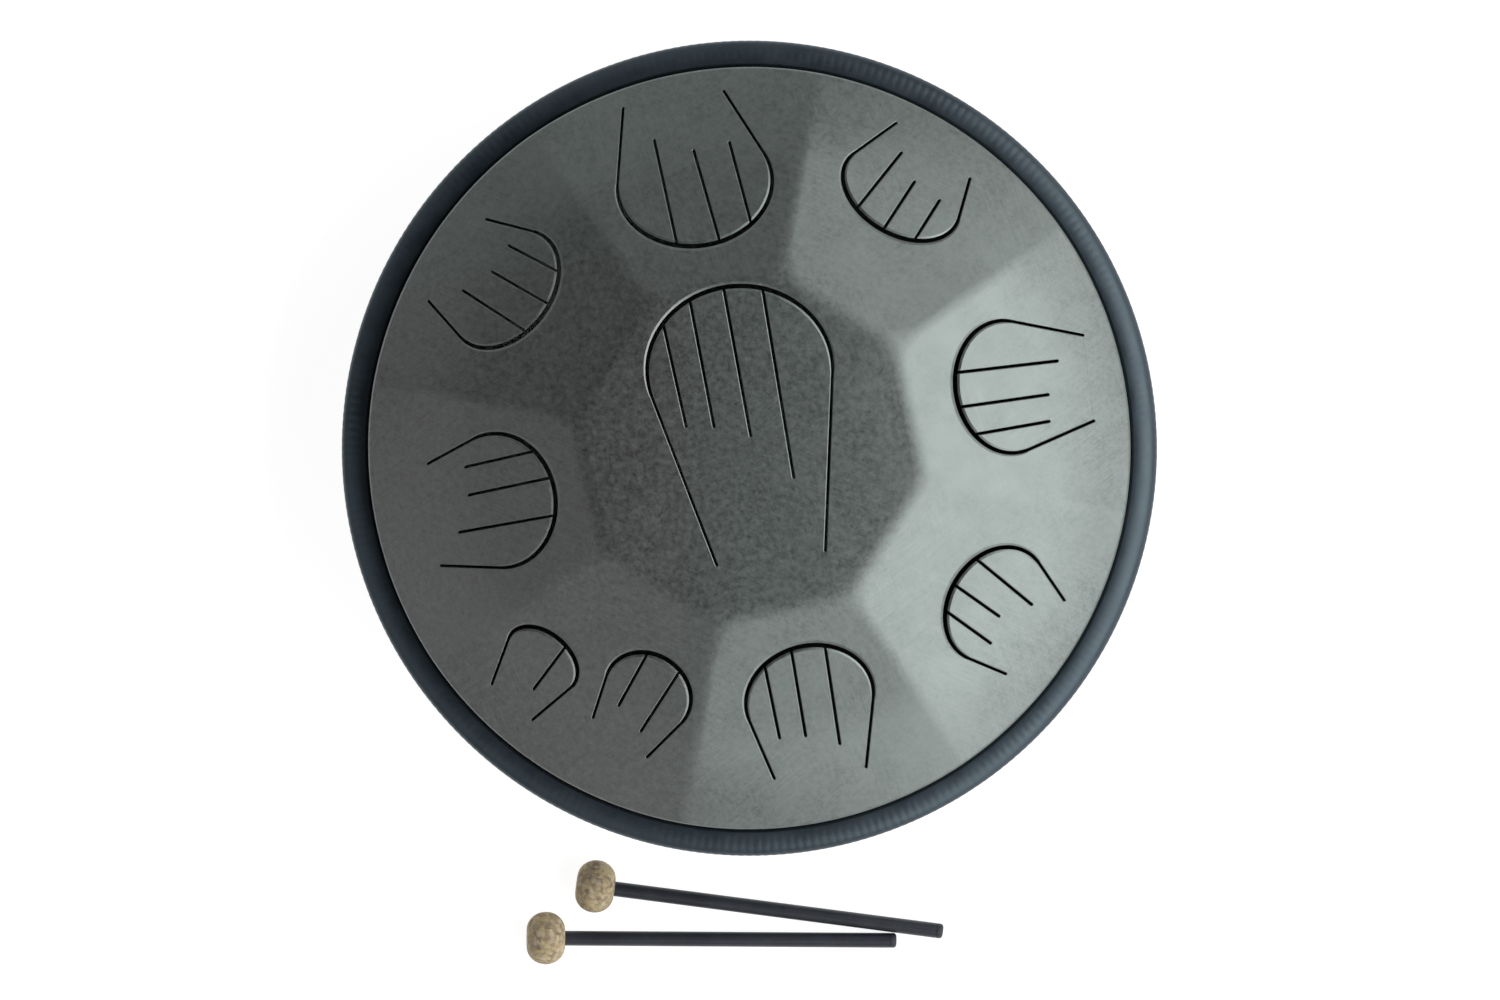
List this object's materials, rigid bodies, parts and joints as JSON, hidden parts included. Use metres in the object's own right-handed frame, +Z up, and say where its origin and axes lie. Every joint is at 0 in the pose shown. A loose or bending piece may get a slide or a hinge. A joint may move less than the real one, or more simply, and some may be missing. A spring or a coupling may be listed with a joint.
{
  "type": "steel tongue drum",
  "caption": "Round steel tongue drum with slit, finger-cut tongues in a faceted top shell, a bowl-shaped lower shell, a ribbed rubber rim trim and loose mallets.",
  "frame": {"origin": "centre of the base ring's lower face, on the surface the drum stands on", "axes": "+Z up out of the top shell; +Y the way the centre tongue points, away from the mallets; +X to the player's right when the mallets lie nearest to the player"},
  "size_m": [0.4599, 0.5242, 0.1503],
  "materials": {
    "shell_steel": "satin greenish grey, faint brushing and scratches",
    "tongue_steel": "satin greenish grey, faint brushing and scratches",
    "adhesive": "cured black adhesive",
    "carrier_steel": "plain strip steel",
    "trim_rubber": "satin blue-black rubber",
    "base_rubber": "matt black rubber",
    "shaft": "satin blue-black pultruded rod",
    "cap": "satin blue-black rubber",
    "mallet_head": "matt, mottled tan and brown granulate"
  },
  "bodies": {
    "drum": {"top_shell": "shell_steel", "bottom_shell": "shell_steel", "flange_bond": "adhesive", "trim_carrier": "carrier_steel", "rim_trim": "trim_rubber", "base_ring": "base_rubber"},
    "tongue_centre": {"tongue_centre": "tongue_steel"},
    "tongue_top": {"tongue_top": "tongue_steel"},
    "tongue_top_right": {"tongue_top_right": "tongue_steel"},
    "tongue_right": {"tongue_right": "tongue_steel"},
    "tongue_lower_right": {"tongue_lower_right": "tongue_steel"},
    "tongue_bottom": {"tongue_bottom": "tongue_steel"},
    "tongue_low_left": {"tongue_low_left": "tongue_steel"},
    "tongue_far_left": {"tongue_far_left": "tongue_steel"},
    "tongue_left": {"tongue_left": "tongue_steel"},
    "tongue_upper_left": {"tongue_upper_left": "tongue_steel"},
    "mallet_1": {"mallet_1_shaft": "shaft", "mallet_1_head": "mallet_head", "mallet_1_cap": "cap"},
    "mallet_2": {"mallet_2_shaft": "shaft", "mallet_2_head": "mallet_head", "mallet_2_cap": "cap"}
  },
  "joints": [
    {"name": "tongue_centre_flex", "type": "hinge", "parent": "drum", "child": "tongue_centre", "pos_m": [0.01211, -0.06146, 0.14821], "axis": [-0.9908, -0.1355, 0.0018], "range_deg": [-0.19, 0.19], "stiffness_Nm_per_rad": 70},
    {"name": "tongue_top_flex", "type": "hinge", "parent": "drum", "child": "tongue_top", "pos_m": [-0.04266, 0.19564, 0.10672], "axis": [0.9853, 0.1693, 0.0225], "range_deg": [-0.34, 0.34], "stiffness_Nm_per_rad": 110},
    {"name": "tongue_top_right_flex", "type": "hinge", "parent": "drum", "child": "tongue_top_right", "pos_m": [0.10313, 0.16693, 0.10885], "axis": [0.7969, -0.6026, 0.0416], "range_deg": [-0.54, 0.54], "stiffness_Nm_per_rad": 145},
    {"name": "tongue_right_flex", "type": "hinge", "parent": "drum", "child": "tongue_right", "pos_m": [0.19044, 0.03932, 0.10977], "axis": [0.1268, -0.9911, 0.0405], "range_deg": [-0.38, 0.38], "stiffness_Nm_per_rad": 105},
    {"name": "tongue_lower_right_flex", "type": "hinge", "parent": "drum", "child": "tongue_lower_right", "pos_m": [0.16036, -0.10617, 0.11077], "axis": [-0.6224, -0.7813, 0.0465], "range_deg": [-0.52, 0.52], "stiffness_Nm_per_rad": 140},
    {"name": "tongue_bottom_flex", "type": "hinge", "parent": "drum", "child": "tongue_bottom", "pos_m": [0.03974, -0.1823, 0.11352], "axis": [-0.9913, -0.1247, 0.0413], "range_deg": [-0.4, 0.4], "stiffness_Nm_per_rad": 110},
    {"name": "tongue_low_left_flex", "type": "hinge", "parent": "drum", "child": "tongue_low_left", "pos_m": [-0.0725, -0.16231, 0.11825], "axis": [-0.8068, 0.5895, 0.0401], "range_deg": [-0.56, 0.56], "stiffness_Nm_per_rad": 110},
    {"name": "tongue_far_left_flex", "type": "hinge", "parent": "drum", "child": "tongue_far_left", "pos_m": [-0.13324, -0.14258, 0.11053], "axis": [-0.7505, 0.6598, 0.0369], "range_deg": [-0.65, 0.65], "stiffness_Nm_per_rad": 110},
    {"name": "tongue_left_flex", "type": "hinge", "parent": "drum", "child": "tongue_left", "pos_m": [-0.17665, -0.03743, 0.11622], "axis": [-0.1276, 0.9911, 0.0376], "range_deg": [-0.42, 0.42], "stiffness_Nm_per_rad": 120},
    {"name": "tongue_upper_left_flex", "type": "hinge", "parent": "drum", "child": "tongue_upper_left", "pos_m": [-0.16399, 0.10547, 0.10941], "axis": [0.5785, 0.8154, 0.0224], "range_deg": [-0.5, 0.5], "stiffness_Nm_per_rad": 145},
    {"name": "mallet_1_lift", "type": "slide", "parent": "drum", "child": "mallet_1", "axis": [0, 0, 1], "range_m": [0, 0.2]},
    {"name": "mallet_2_lift", "type": "slide", "parent": "drum", "child": "mallet_2", "axis": [0, 0, 1], "range_m": [0, 0.2]}
  ]
}
